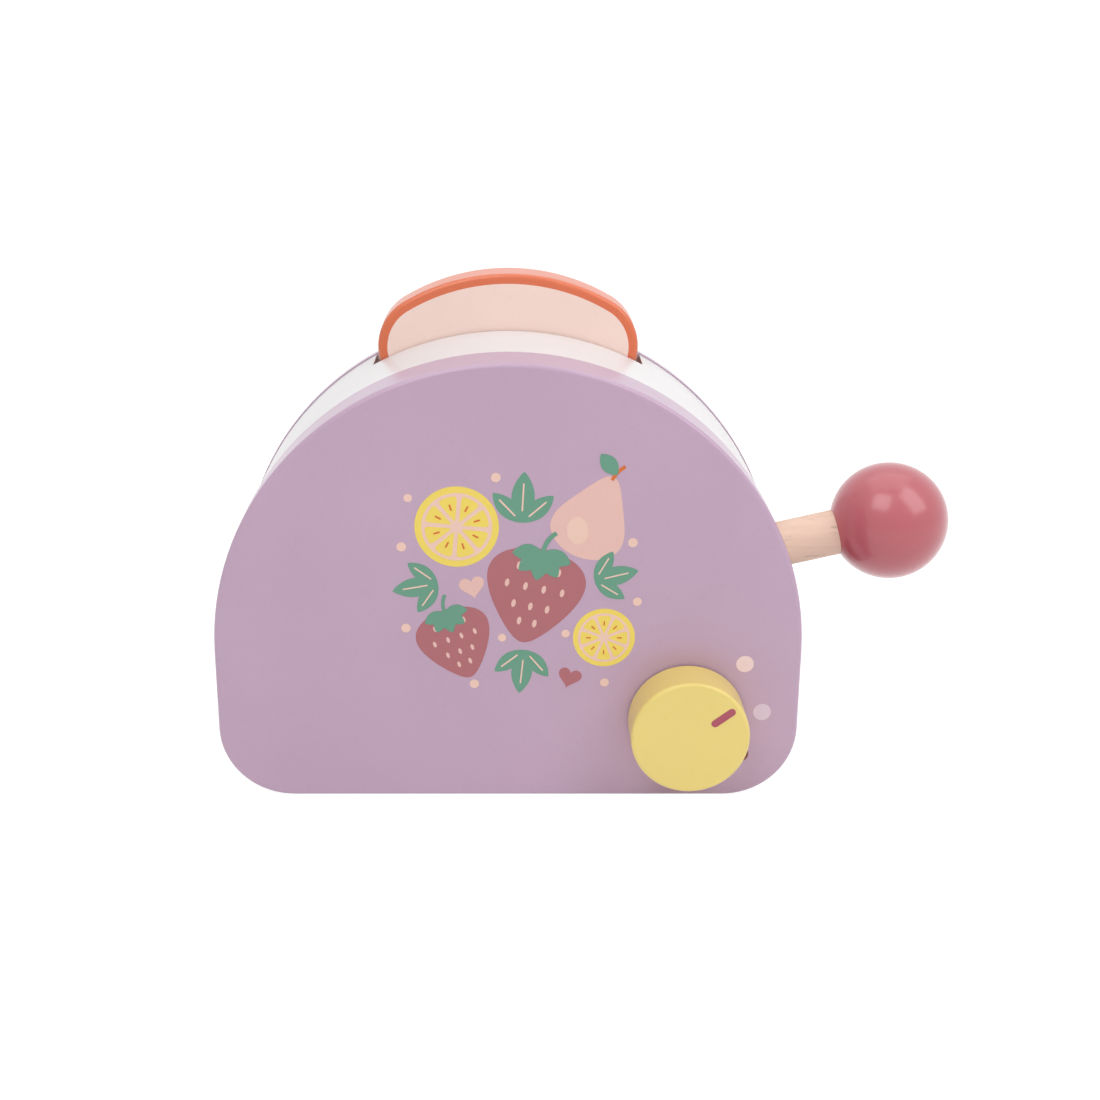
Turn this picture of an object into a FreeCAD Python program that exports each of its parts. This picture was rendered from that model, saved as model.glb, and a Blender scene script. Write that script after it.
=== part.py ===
"""Toy toaster: painted wooden panels round a white bent-ply casing, a toast slice on a
tray that the side lever lowers on two sprung guide posts, and a clicking knob.

Frame: X to the right (lever side), Y to the back, Z up. The origin is the centre of the
flat underside that the two panels stand on. Lengths are in millimetres.
"""
import FreeCAD, Part
import math
import os
import Sketcher
from FreeCAD import Placement, Rotation, Vector

doc = FreeCAD.newDocument("ToyToaster")
sheet = doc.addObject("Spreadsheet::Sheet", "Sizes")


class Size:
    """A length or angle that knows both its value and the expression it comes from."""

    def __init__(self, text, value):
        self.text = text
        self.value = float(value)

    def __add__(self, other):
        other = as_size(other)
        return Size(f"({self.text} + {other.text})", self.value + other.value)

    def __sub__(self, other):
        other = as_size(other)
        return Size(f"({self.text} - {other.text})", self.value - other.value)

    def __mul__(self, factor):
        other = as_size(factor)
        return Size(f"({self.text} * {other.text})", self.value * other.value)

    def __truediv__(self, divisor):
        other = as_size(divisor)
        return Size(f"({self.text} / {other.text})", self.value / other.value)

    def __neg__(self):
        return Size(f"(0 - {self.text})", -self.value)


def as_size(number):
    return number if isinstance(number, Size) else Size(repr(float(number)), number)


def sine(angle):
    return Size(f"sin({angle.text})", math.sin(math.radians(angle.value)))


def cosine(angle):
    return Size(f"cos({angle.text})", math.cos(math.radians(angle.value)))


def tangent(angle):
    return Size(f"tan({angle.text})", math.tan(math.radians(angle.value)))


def root(square):
    return Size(f"sqrt({square.text})", math.sqrt(square.value))


rows_used = 0


def size(alias, value, note):
    """Write one driving dimension into the sheet and return it."""
    global rows_used
    rows_used += 1
    sheet.set(f"A{rows_used}", note)
    sheet.set(f"B{rows_used}", str(value))
    sheet.setAlias(f"B{rows_used}", alias)
    return Size(f"Sizes.{alias}", value)


# Driving dimensions of the housing
body_radius = size("body_radius", 100, "Radius of the panels' round top, half their width")
shoulder_height = size("shoulder_height", 54, "Height of the centre of the round top")
corner_radius = size("corner_radius", 25, "Radius of the panels' bottom corners")
front_thickness = size("front_thickness", 19.5, "Thickness of the front panel")
back_thickness = size("back_thickness", 5, "Thickness of the back panel")
chamber_depth = size("chamber_depth", 52.5, "Clear depth between the two panels")
front_round = size("front_round", 1.5, "Rounding of the front panel's edges")
back_round = size("back_round", 1.5, "Rounding of the back panel's edges")
casing_inset = size("casing_inset", 0.4, "How far the casing lies inside the panel outline")
casing_wall = size("casing_wall", 5, "Thickness of the bent-ply casing")
groove_depth = size("groove_depth", 3, "Depth of the panel grooves that hold the casing")
glue_gap = size("glue_gap", 0.05, "Radial or side gap of glued fits")
run_gap = size("run_gap", 0.3, "Gap beside pieces that move")
base_thickness = size("base_thickness", 12, "Thickness of the base board")
tie_radius = size("tie_radius", 6, "Radius of the tie rods between the panels")
tie_clearance = size("tie_clearance", 2.8, "Gap between the tie rods and the casing")
tie_angle = size("tie_angle", 32.6, "Slope from the round top's centre to a tie rod, in degrees")
tie_seat = size("tie_seat", 6, "Depth of the tie rods' seats in the front panel")
dowel_radius = size("dowel_radius", 3, "Radius of the base board's dowels")
dowel_length = size("dowel_length", 22, "Length of the base board's dowels")
dowel_seat = size("dowel_seat", 8, "Depth of the dowel holes in the front panel")
dowel_margin = size("dowel_margin", 15, "Distance of the base dowels from the board's ends")
screw_radius = size("screw_radius", 1.6, "Radius of the screws' shanks")
screw_length = size("screw_length", 30, "Length of the back screws")
screw_head_radius = size("screw_head_radius", 3.8, "Radius of the screws' countersunk heads")
screw_head_depth = size("screw_head_depth", 2.4, "Depth of the screws' countersunk heads")
cross_width = size("cross_width", 0.9, "Width of one bar of the screws' cross recess")
cross_depth = size("cross_depth", 1.2, "Depth of the screws' cross recess")
cross_reach = size("cross_reach", 2.3, "Length of the cross recess from the screw's axis")
screw_margin = size("screw_margin", 37, "Distance of the outer screws from the board's ends")

# Driving dimensions of the openings in the casing
slot_from_front = size("slot_from_front", 35.2, "Casing in front of the toast slot")
slot_side_gap = size("slot_side_gap", 0.75, "Gap between the slice's faces and the toast slot")
slot_end_gap = size("slot_end_gap", 1.7, "Gap between the slice's sides and the slot's ends")
lever_slot_gap = size("lever_slot_gap", 0.5, "Gap beside the lever in its slot")

# Driving dimensions of the toast and its tray
toast_half_width = size("toast_half_width", 46, "Half the width of the slice's crown")
toast_overhang = size("toast_overhang", 2.5, "How far the crown's lobes stand out at the sides")
toast_rise = size("toast_rise", 26, "Rise of the slice's crown above its widest line")
toast_lobe = size("toast_lobe", 18.5, "Radius of the crown's side lobes")
toast_height = size("toast_height", 89, "Height of the slice")
toast_thickness = size("toast_thickness", 15, "Thickness of the slice")
toast_corner = size("toast_corner", 8, "Radius of the slice's bottom corners")
toast_round = size("toast_round", 1.6, "Rounding of the slice's edges")
toast_show = size("toast_show", 19.4, "How far the slice stands above the panels at rest")
tray_recess = size("tray_recess", 2, "Depth of the tray's recess")
tray_thickness = size("tray_thickness", 7, "Thickness of the tray")
tray_rim = size("tray_rim", 0.8, "Width of the tray's rim beside its recess")
tray_end = size("tray_end", 7, "Length of the tray beyond its guide posts' axes")
hanger_half_width = size("hanger_half_width", 14, "Half the width of the tray's hanger")
hanger_thickness = size("hanger_thickness", 6, "Thickness of the tray's hanger")
hanger_foot = size("hanger_foot", 4, "Length of the hanger below its lower peg")
peg_radius = size("peg_radius", 3, "Radius of the pegs above and below the lever")
guide_radius = size("guide_radius", 4, "Radius of the guide posts")
guide_margin = size("guide_margin", 10, "Distance of the guide posts' axes from the slice")
guide_seat = size("guide_seat", 8, "Depth of the guide posts' holes in the base board")
guide_spare = size("guide_spare", 0.5, "Length of the guide posts above their stop rings")
stop_radius = size("stop_radius", 7, "Radius of the stop rings on the guide posts")
stop_height = size("stop_height", 6, "Height of the stop rings")
spring_radius = size("spring_radius", 6, "Outer radius of the return springs")
spring_wire = size("spring_wire", 1.2, "Thickness of the return springs' wire")

# Driving dimensions of the lever
lever_radius = size("lever_radius", 8, "Radius of the lever's dowel")
lever_angle = size("lever_angle", 13.1, "Slope of the lever at rest, in degrees")
lever_travel = size("lever_travel", 15, "Turn of the lever when pressed, in degrees")
lever_drop = size("lever_drop", 22.01, "Height of the tray above the lever's axis")
pivot_gap = size("pivot_gap", 2, "Gap between the pivot's spacers and the left spring")
pivot_radius = size("pivot_radius", 4, "Radius of the pivot pin")
pivot_front_seat = size("pivot_front_seat", 8, "Depth of the pivot pin's hole in the front panel")
pivot_back_seat = size("pivot_back_seat", 3, "Depth of the pivot pin's hole in the back panel")
spacer_radius = size("spacer_radius", 6, "Outer radius of the spacer tubes on the pivot pin")
lever_tail = size("lever_tail", 12, "Length of the lever behind its pivot")
ball_overhang = size("ball_overhang", 35.1, "Distance of the ball's centre from the right side")
ball_radius = size("ball_radius", 20.6, "Radius of the ball")
ball_seat = size("ball_seat", 18, "Depth of the lever's hole in the ball")
lever_end_round = size("lever_end_round", 1, "Chamfer on the lever's ends")

# Driving dimensions of the knob and its clicker
knob_margin = size("knob_margin", 38.7, "Distance of the knob's axis from the right side")
knob_height = size("knob_height", 29.5, "Height of the knob's axis")
knob_radius = size("knob_radius", 20, "Radius of the knob")
knob_depth = size("knob_depth", 15.5, "Depth of the knob")
knob_round = size("knob_round", 1.2, "Rounding of the knob's front edge")
knob_bore = size("knob_bore", 10, "Depth of the axle's hole in the knob")
axle_radius = size("axle_radius", 4, "Radius of the knob's axle")
felt_radius = size("felt_radius", 13, "Radius of the felt washer behind the knob")
felt_thickness = size("felt_thickness", 0.8, "Thickness of the felt washer")
wheel_radius = size("wheel_radius", 13, "Radius of the click wheel")
wheel_thickness = size("wheel_thickness", 4, "Thickness of the click wheel")
notch_count = size("notch_count", 12, "Number of notches round the click wheel")
notch_radius = size("notch_radius", 1.8, "Radius of the click wheel's notches")
collar_radius = size("collar_radius", 7, "Radius of the axle's retaining collar")
collar_thickness = size("collar_thickness", 2.5, "Thickness of the retaining collar")
axle_spare = size("axle_spare", 1, "Length of the axle behind its collar")
reed_thickness = size("reed_thickness", 1, "Thickness of the click reed")
reed_length = size("reed_length", 24, "Length of the reed from its nose to its foot")
reed_nose = size("reed_nose", 1.4, "Radius of the reed's nose")
foot_size = size("foot_size", 9, "Side of the reed's square foot")
foot_thickness = size("foot_thickness", 4, "Thickness of the reed's foot")
reed_screw_length = size("reed_screw_length", 9, "Depth of the reed screw in the front panel")
doc.recompute()

# Places that follow from the driving dimensions
half_depth = (front_thickness + chamber_depth + back_thickness) / 2
front_y = -half_depth
inner_front_y = front_y + front_thickness
inner_back_y = half_depth - back_thickness
slot_width = toast_thickness + slot_side_gap * 2
slot_half_length = toast_half_width + slot_end_gap
slot_middle_y = inner_front_y + slot_from_front + slot_width / 2
casing_radius = body_radius - casing_inset
casing_end_x = body_radius - corner_radius
slot_cut = casing_radius / 2
tie_distance = casing_radius - casing_wall - tie_clearance - tie_radius
tie_x = tie_distance * cosine(tie_angle)
tie_height = shoulder_height + tie_distance * sine(tie_angle)
dowel_x = casing_end_x - dowel_margin
base_screw_x = casing_end_x - screw_margin
base_top = base_thickness
toast_waist = toast_half_width - toast_overhang
toast_foot = shoulder_height + body_radius + toast_show - toast_height
tray_top = toast_foot + tray_recess
tray_bottom = tray_top - tray_thickness
tray_half_width = toast_thickness / 2 + run_gap + tray_rim
guide_x = toast_half_width + guide_margin
tray_half_length = guide_x + tray_end
guide_top = tray_top + run_gap + stop_height + guide_spare
pivot_x = guide_x + spring_radius + pivot_gap + spacer_radius
knob_x = body_radius - knob_margin
lever_reach = (pivot_x + body_radius + ball_overhang) / cosine(lever_angle)
hanger_y = slot_middle_y - tray_half_width
lever_height_at_middle = tray_bottom - lever_drop
pivot_height = lever_height_at_middle - tangent(lever_angle) * pivot_x
peg_offset = (lever_radius + peg_radius + run_gap) / cosine(lever_angle)
hanger_bottom = lever_height_at_middle - peg_offset - peg_radius - hanger_foot
wheel_y = inner_front_y + run_gap
collar_y = wheel_y + wheel_thickness + glue_gap
axle_end_y = collar_y + collar_thickness + axle_spare
knob_back_y = front_y - felt_thickness
nose_x = knob_x - wheel_radius
foot_x = nose_x - foot_size / 2
foot_z = knob_height + reed_length + foot_size / 2

ALONG_Y = Rotation(Vector(1, 0, 0), -90)
UPRIGHT = Rotation()


# Helpers that build sketches and features

def bind(target, path, length):
    target.setExpression(path, as_size(length).text)


def place(target, x=0, y=0, z=0, rotation=UPRIGHT):
    """Put an object at a point bound to the sheet."""
    x, y, z = as_size(x), as_size(y), as_size(z)
    target.Placement = Placement(Vector(x.value, y.value, z.value), rotation)
    bind(target, "Placement.Base.x", x)
    bind(target, "Placement.Base.y", y)
    bind(target, "Placement.Base.z", z)
    return target


def make_body(label, x=0, y=0, z=0, rotation=UPRIGHT):
    body = doc.addObject("PartDesign::Body", label)
    body.Label = label
    return place(body, x, y, z, rotation)


def make_sketch(body, plane, offset=None):
    """Attach a new sketch to one of the body's own origin planes, moved along its normal."""
    sketch = body.newObject("Sketcher::SketchObject", "sketch")
    support = [item for item in body.Origin.OriginFeatures if item.Role == plane][0]
    sketch.AttachmentSupport = [(support, "")]
    sketch.MapMode = "FlatFace"
    if offset is not None:
        offset = as_size(offset)
        sketch.AttachmentOffset = Placement(Vector(0, 0, offset.value), UPRIGHT)
        bind(sketch, "AttachmentOffset.Base.z", offset)
    return sketch


def fix(sketch, kind, value, *where):
    """Add one dimension to a sketch and bind it to the sheet."""
    value = as_size(value)
    index = sketch.addConstraint(Sketcher.Constraint(kind, *where, value.value))
    bind(sketch, f"Constraints[{index}]", value)


def fix_coordinate(sketch, geometry, end, kind, value):
    """Hold one coordinate of a sketch point, measured from the sketch's origin."""
    value = as_size(value)
    if abs(value.value) < 1e-9:
        axis = -2 if kind == "DistanceX" else -1
        sketch.addConstraint(Sketcher.Constraint("PointOnObject", geometry, end, axis))
    else:
        fix(sketch, kind, value, -1, 1, geometry, end)


def fix_point(sketch, geometry, end, x, y):
    fix_coordinate(sketch, geometry, end, "DistanceX", x)
    fix_coordinate(sketch, geometry, end, "DistanceY", y)


def draw_circle(sketch, x, y, radius):
    x, y, radius = as_size(x), as_size(y), as_size(radius)
    centre = Vector(x.value, y.value, 0)
    index = sketch.addGeometry(Part.Circle(centre, Vector(0, 0, 1), radius.value))
    fix_point(sketch, index, 3, x, y)
    fix(sketch, "Radius", radius, index)


def draw_path(sketch, steps):
    """Draw a closed outline. A step is (x, y) for a line to that point, or
    (x, y, centre x, centre y, radius, side) for an arc to it, side 1 being left-handed."""
    steps = [tuple(as_size(number) for number in step) for step in steps]
    indices = []
    for number, step in enumerate(steps):
        before = steps[number - 1]
        start = Vector(before[0].value, before[1].value, 0)
        end = Vector(step[0].value, step[1].value, 0)
        if len(step) == 2:
            indices.append(sketch.addGeometry(Part.LineSegment(start, end)))
            continue
        centre = Vector(step[2].value, step[3].value, 0)
        circle = Part.Circle(centre, Vector(0, 0, 1), step[4].value)
        left_handed = step[5].value > 0
        first, last = (start, end) if left_handed else (end, start)
        arc = Part.ArcOfCircle(circle, circle.parameter(first), circle.parameter(last))
        indices.append(sketch.addGeometry(arc))
        chord = end - start
        if abs(chord.x) > abs(chord.y):
            fix_coordinate(sketch, indices[-1], 3, "DistanceY", step[3])
        else:
            fix_coordinate(sketch, indices[-1], 3, "DistanceX", step[2])
    ends = []
    for index, step in zip(indices, steps):
        backwards = len(step) > 2 and step[5].value < 0
        ends.append((index, 2, 1) if backwards else (index, 1, 2))
    for number, step in enumerate(steps):
        index, _, last = ends[number]
        following, first, _ = ends[(number + 1) % len(ends)]
        sketch.addConstraint(Sketcher.Constraint("Coincident", index, last, following, first))
        fix_point(sketch, index, last, step[0], step[1])


def draw_rectangle(sketch, left, right, bottom, top):
    draw_path(sketch, [(right, bottom), (right, top), (left, top), (left, bottom)])


def pad(body, sketch, length, against_normal=False):
    feature = body.newObject("PartDesign::Pad", "pad")
    feature.Profile = sketch
    feature.Reversed = against_normal
    feature.Length = as_size(length).value
    bind(feature, "Length", length)
    body.Tip = feature
    doc.recompute()
    check_sketch(sketch)
    return feature


def check_sketch(sketch):
    if "Invalid" in sketch.State or sketch.solve() != 0:
        raise ValueError(f"{sketch.Label}: {sketch.getStatusString()}")


def pocket(body, sketch, depth=None, along_normal=False):
    """Cut a sketch out of a body, right through both ways where no depth is given."""
    volume = body.Shape.Volume
    feature = body.newObject("PartDesign::Pocket", "pocket")
    feature.Profile = sketch
    if depth is None:
        feature.Type = "ThroughAll"
        feature.Midplane = True
    else:
        feature.Reversed = along_normal
        feature.Length = as_size(depth).value
        bind(feature, "Length", depth)
    body.Tip = feature
    doc.recompute()
    check_sketch(sketch)
    if not body.Shape.Volume < volume - 0.01:
        raise ValueError(f"a pocket of {body.Label} cuts nothing")
    return feature


def edges_at(shape, axis, level):
    """Names of the edges that lie wholly in the plane where axis has that level."""
    names = []
    for number, edge in enumerate(shape.Edges, start=1):
        box = edge.BoundBox
        low, high = {"x": (box.XMin, box.XMax), "y": (box.YMin, box.YMax),
                     "z": (box.ZMin, box.ZMax)}[axis]
        if abs(low - level) < 1e-4 and abs(high - level) < 1e-4:
            names.append(f"Edge{number}")
    return names


def round_edges(body, axis, level, radius):
    """Round the edges of the body's tip in a plane, measured in the body's own frame."""
    base = body.Tip
    feature = body.newObject("PartDesign::Fillet", "round")
    feature.Base = (base, edges_at(base.Shape, axis, as_size(level).value))
    feature.Radius = as_size(radius).value
    bind(feature, "Radius", radius)
    body.Tip = feature
    doc.recompute()


def cylinder(label, radius, length, x=0, y=0, z=0, rotation=ALONG_Y):
    """A round bar. By default it runs along Y from the point given."""
    bar = doc.addObject("Part::Cylinder", label)
    bar.Label = label
    bind(bar, "Radius", radius)
    bind(bar, "Height", length)
    return place(bar, x, y, z, rotation)


def box(label, width, depth, height, x, y, z):
    """A block with its lowest corner at the point given."""
    block = doc.addObject("Part::Box", label)
    block.Label = label
    bind(block, "Length", width)
    bind(block, "Width", depth)
    bind(block, "Height", height)
    return place(block, x, y, z)


def fuse(label, pieces):
    joined = doc.addObject("Part::MultiFuse", label)
    joined.Label = label
    joined.Shapes = pieces
    return joined


def cut(label, base, tools):
    """Cut one or more tools out of a base."""
    tool = tools[0] if len(tools) == 1 else fuse(f"{label}_cuts", tools)
    result = doc.addObject("Part::Cut", label)
    result.Label = label
    result.Base = base
    result.Tool = tool
    return result


def group(label, pieces):
    """Several separate solids that share one node."""
    compound = doc.addObject("Part::Compound", label)
    compound.Label = label
    compound.Links = pieces
    return compound


nodes = []


def node(piece):
    nodes.append(piece)
    return piece


# Outlines of the housing, drawn in the XZ plane

def panel_outline(sketch):
    """A round top on straight sides, with round bottom corners."""
    inner = body_radius - corner_radius
    draw_path(sketch, [
        (body_radius, shoulder_height),
        (-body_radius, shoulder_height, 0, shoulder_height, body_radius, 1),
        (-body_radius, corner_radius),
        (-inner, 0, -inner, corner_radius, corner_radius, 1),
        (inner, 0),
        (body_radius, corner_radius, inner, corner_radius, corner_radius, 1)])


def casing_outline(sketch, gap):
    """The band that follows the panels from one bottom corner over the top to the other.
    A gap makes it wider all round, for the groove that takes it."""
    outer = casing_radius + gap
    inner = casing_radius - casing_wall - gap
    corner_out = corner_radius - casing_inset + gap
    corner_in = corner_radius - casing_inset - casing_wall - gap
    low = casing_inset - gap
    high = casing_inset + casing_wall + gap
    bend_x = casing_end_x
    end_x = casing_end_x - gap
    steps = [(end_x, low)]
    if gap.value > 0:
        steps.append((bend_x, low))
    steps += [
        (outer, corner_radius, bend_x, corner_radius, corner_out, 1),
        (outer, shoulder_height),
        (-outer, shoulder_height, 0, shoulder_height, outer, 1),
        (-outer, corner_radius),
        (-bend_x, low, -bend_x, corner_radius, corner_out, 1)]
    if gap.value > 0:
        steps.append((-end_x, low))
    steps.append((-end_x, high))
    if gap.value > 0:
        steps.append((-bend_x, high))
    steps += [
        (-inner, corner_radius, -bend_x, corner_radius, corner_in, -1),
        (-inner, shoulder_height),
        (inner, shoulder_height, 0, shoulder_height, inner, -1),
        (inner, corner_radius),
        (bend_x, high, bend_x, corner_radius, corner_in, -1)]
    if gap.value > 0:
        steps.append((end_x, high))
    draw_path(sketch, steps)


NO_GAP = Size("0", 0)
tie_places = ((-tie_x, tie_height), (tie_x, tie_height))
base_middle_z = base_thickness / 2
screw_places = tie_places + (
    (-base_screw_x, base_middle_z), (NO_GAP, base_middle_z), (base_screw_x, base_middle_z))


# Housing

def make_front_panel():
    panel = make_body("front_panel", y=front_y)
    outline = make_sketch(panel, "XZ_Plane")
    panel_outline(outline)
    pad(panel, outline, front_thickness, against_normal=True)
    round_edges(panel, "y", 0, front_round)
    round_edges(panel, "y", front_thickness, back_round)
    inside = -front_thickness
    groove = make_sketch(panel, "XZ_Plane", inside)
    casing_outline(groove, glue_gap)
    pocket(panel, groove, groove_depth, along_normal=True)
    seats = make_sketch(panel, "XZ_Plane", inside)
    for x, z in tie_places:
        draw_circle(seats, x, z, tie_radius + glue_gap)
    pocket(panel, seats, tie_seat, along_normal=True)
    pins = make_sketch(panel, "XZ_Plane", inside)
    draw_circle(pins, -pivot_x, pivot_height, pivot_radius + glue_gap)
    pocket(panel, pins, pivot_front_seat, along_normal=True)
    dowels = make_sketch(panel, "XZ_Plane", inside)
    for side in (-1, 1):
        draw_circle(dowels, dowel_x * side, base_middle_z, dowel_radius + glue_gap)
    pocket(panel, dowels, dowel_seat, along_normal=True)
    reed_hole = make_sketch(panel, "XZ_Plane", inside)
    draw_circle(reed_hole, foot_x, foot_z, screw_radius)
    pocket(panel, reed_hole, reed_screw_length, along_normal=True)
    axle_hole = make_sketch(panel, "XZ_Plane")
    draw_circle(axle_hole, knob_x, knob_height, axle_radius + run_gap)
    pocket(panel, axle_hole)
    return panel


def make_back_panel():
    panel = make_body("back_panel", y=inner_back_y)
    outline = make_sketch(panel, "XZ_Plane")
    panel_outline(outline)
    pad(panel, outline, back_thickness, against_normal=True)
    round_edges(panel, "y", back_thickness, back_round)
    groove = make_sketch(panel, "XZ_Plane")
    casing_outline(groove, glue_gap)
    pocket(panel, groove, groove_depth)
    pins = make_sketch(panel, "XZ_Plane")
    draw_circle(pins, -pivot_x, pivot_height, pivot_radius + glue_gap)
    pocket(panel, pins, pivot_back_seat)
    shanks = make_sketch(panel, "XZ_Plane")
    for x, z in screw_places:
        draw_circle(shanks, x, z, screw_radius + glue_gap)
    pocket(panel, shanks)
    heads = make_sketch(panel, "XZ_Plane", -back_thickness)
    for x, z in screw_places:
        draw_circle(heads, x, z, screw_head_radius + glue_gap)
    pocket(panel, heads, screw_head_depth, along_normal=True)
    return panel


def make_casing():
    casing = make_body("casing", y=inner_front_y - groove_depth)
    band = make_sketch(casing, "XZ_Plane")
    casing_outline(band, NO_GAP)
    pad(casing, band, chamber_depth + groove_depth * 2, against_normal=True)
    toast_slot = make_sketch(casing, "XY_Plane", shoulder_height + casing_radius)
    slot_front = groove_depth + slot_from_front
    draw_rectangle(toast_slot, -slot_half_length, slot_half_length,
                   slot_front, slot_front + slot_width)
    pocket(casing, toast_slot, slot_cut)
    lever_slot = make_sketch(casing, "YZ_Plane", casing_radius)
    half_width = lever_radius + lever_slot_gap
    middle = groove_depth + lever_y - inner_front_y
    draw_path(lever_slot, [
        (middle + half_width, lever_slot_high),
        (middle - half_width, lever_slot_high, middle, lever_slot_high, half_width, 1),
        (middle - half_width, lever_slot_low),
        (middle + half_width, lever_slot_low, middle, lever_slot_low, half_width, 1)])
    pocket(casing, lever_slot, slot_cut)
    return casing


def make_base_board():
    half_length = casing_end_x - glue_gap
    board = box("base_board_blank", half_length * 2, chamber_depth, base_thickness,
                -half_length, inner_front_y, 0)
    holes = []
    for side in (-1, 1):
        holes.append(cylinder("guide_hole", guide_radius + glue_gap, guide_seat,
                              guide_x * side, slot_middle_y, base_top - guide_seat, UPRIGHT))
        holes.append(cylinder("dowel_hole", dowel_radius + glue_gap, dowel_length - dowel_seat,
                              dowel_x * side, inner_front_y, base_middle_z))
    pilot = screw_length - back_thickness
    for x, z in screw_places[2:]:
        holes.append(cylinder("pilot_hole", screw_radius, pilot, x, inner_back_y - pilot, z))
    return cut("base_board", board, holes)


def make_tie_rods():
    pilot = screw_length - back_thickness
    for label, (x, z) in zip(("tie_rod_left", "tie_rod_right"), tie_places):
        bar = cylinder(f"{label}_blank", tie_radius, chamber_depth + tie_seat,
                       x, inner_front_y - tie_seat, z)
        hole = cylinder("pilot_hole", screw_radius, pilot, x, inner_back_y - pilot, z)
        node(cut(label, bar, [hole]))


def make_screw(x, z, tip_y, length):
    """A countersunk screw that points to the front, with a cross recess in its head."""
    shank_length = length - screw_head_depth
    shank = cylinder("shank", screw_radius, shank_length, x, tip_y, z)
    head = doc.addObject("Part::Cone", "head")
    bind(head, "Radius1", screw_radius)
    bind(head, "Radius2", screw_head_radius)
    bind(head, "Height", screw_head_depth)
    place(head, x, tip_y + shank_length, z, ALONG_Y)
    recess_y = tip_y + length - cross_depth
    bars = [
        box("cross_bar", cross_reach * 2, cross_depth, cross_width,
            x - cross_reach, recess_y, z - cross_width / 2),
        box("cross_bar", cross_width, cross_depth, cross_reach * 2,
            x - cross_width / 2, recess_y, z - cross_reach)]
    return cut("screw", fuse("screw_blank", [shank, head]), bars)


def make_back_screws():
    tip_y = half_depth - screw_length
    return group("back_screws", [make_screw(x, z, tip_y, screw_length)
                                 for x, z in screw_places])


def make_base_dowels():
    return group("base_dowels", [
        cylinder("dowel", dowel_radius, dowel_length, dowel_x * side,
                 inner_front_y - dowel_seat, base_middle_z) for side in (-1, 1)])


# Lever, pivoted on a pin at the left and reaching out through the casing at the right

lever_y = Size("0", 0)
pressed_angle = lever_travel - lever_angle
wall_distance = pivot_x + casing_radius
lever_slot_high = pivot_height + tangent(lever_angle) * wall_distance + run_gap
lever_slot_low = pivot_height - tangent(pressed_angle) * wall_distance - run_gap
TILTED = Rotation(Vector(0, -1, 0), lever_angle.value)


def tilt(target):
    """Lean a piece of the lever back about the pivot, as it rests."""
    target.setExpression("Placement.Rotation.Angle", lever_angle.text)
    return target


def make_lever_arm():
    arm = make_body("lever_arm", -pivot_x, lever_y, pivot_height, TILTED)
    tilt(arm)
    length = lever_tail + lever_reach - ball_radius + ball_seat
    ring = make_sketch(arm, "YZ_Plane", -lever_tail)
    draw_circle(ring, 0, 0, lever_radius)
    pad(arm, ring, length)
    bar = arm.Tip
    ends = arm.newObject("PartDesign::Chamfer", "ends")
    ends.Base = (bar, edges_at(bar.Shape, "x", -lever_tail.value)
                 + edges_at(bar.Shape, "x", (length - lever_tail).value))
    bind(ends, "Size", lever_end_round)
    arm.Tip = ends
    doc.recompute()
    bore = make_sketch(arm, "XZ_Plane")
    draw_circle(bore, 0, 0, pivot_radius + run_gap)
    pocket(arm, bore)
    return arm


def make_lever_ball():
    """The ball, with a blind hole that the end of the lever is glued into."""
    ball = make_body("lever_ball", -pivot_x, lever_y, pivot_height, TILTED)
    tilt(ball)
    half = make_sketch(ball, "XZ_Plane")
    bore = lever_radius + glue_gap
    mouth = root(ball_radius * ball_radius - bore * bore)
    floor = lever_reach - ball_radius + ball_seat + glue_gap
    draw_path(half, [
        (lever_reach + ball_radius, 0),
        (lever_reach - mouth, bore, lever_reach, 0, ball_radius, 1),
        (floor, bore), (floor, 0)])
    turned = ball.newObject("PartDesign::Revolution", "turned")
    turned.Profile = half
    turned.ReferenceAxis = (half, ["H_Axis"])
    turned.Angle = 360
    ball.Tip = turned
    doc.recompute()
    return ball


def make_pivot_pin():
    length = pivot_front_seat + chamber_depth + pivot_back_seat
    return cylinder("pivot_pin", pivot_radius, length, -pivot_x,
                    inner_front_y - pivot_front_seat, pivot_height)


def make_spacer(label, start_y, end_y):
    """A tube on the pivot pin that keeps the lever in the middle."""
    length = end_y - start_y
    tube = cylinder(f"{label}_blank", spacer_radius, length, -pivot_x, start_y, pivot_height)
    bore = cylinder("bore", pivot_radius + glue_gap, length, -pivot_x, start_y, pivot_height)
    return cut(label, tube, [bore])


# Tray and toast

peg_heights = (lever_height_at_middle - peg_offset, lever_height_at_middle + peg_offset)


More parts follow.
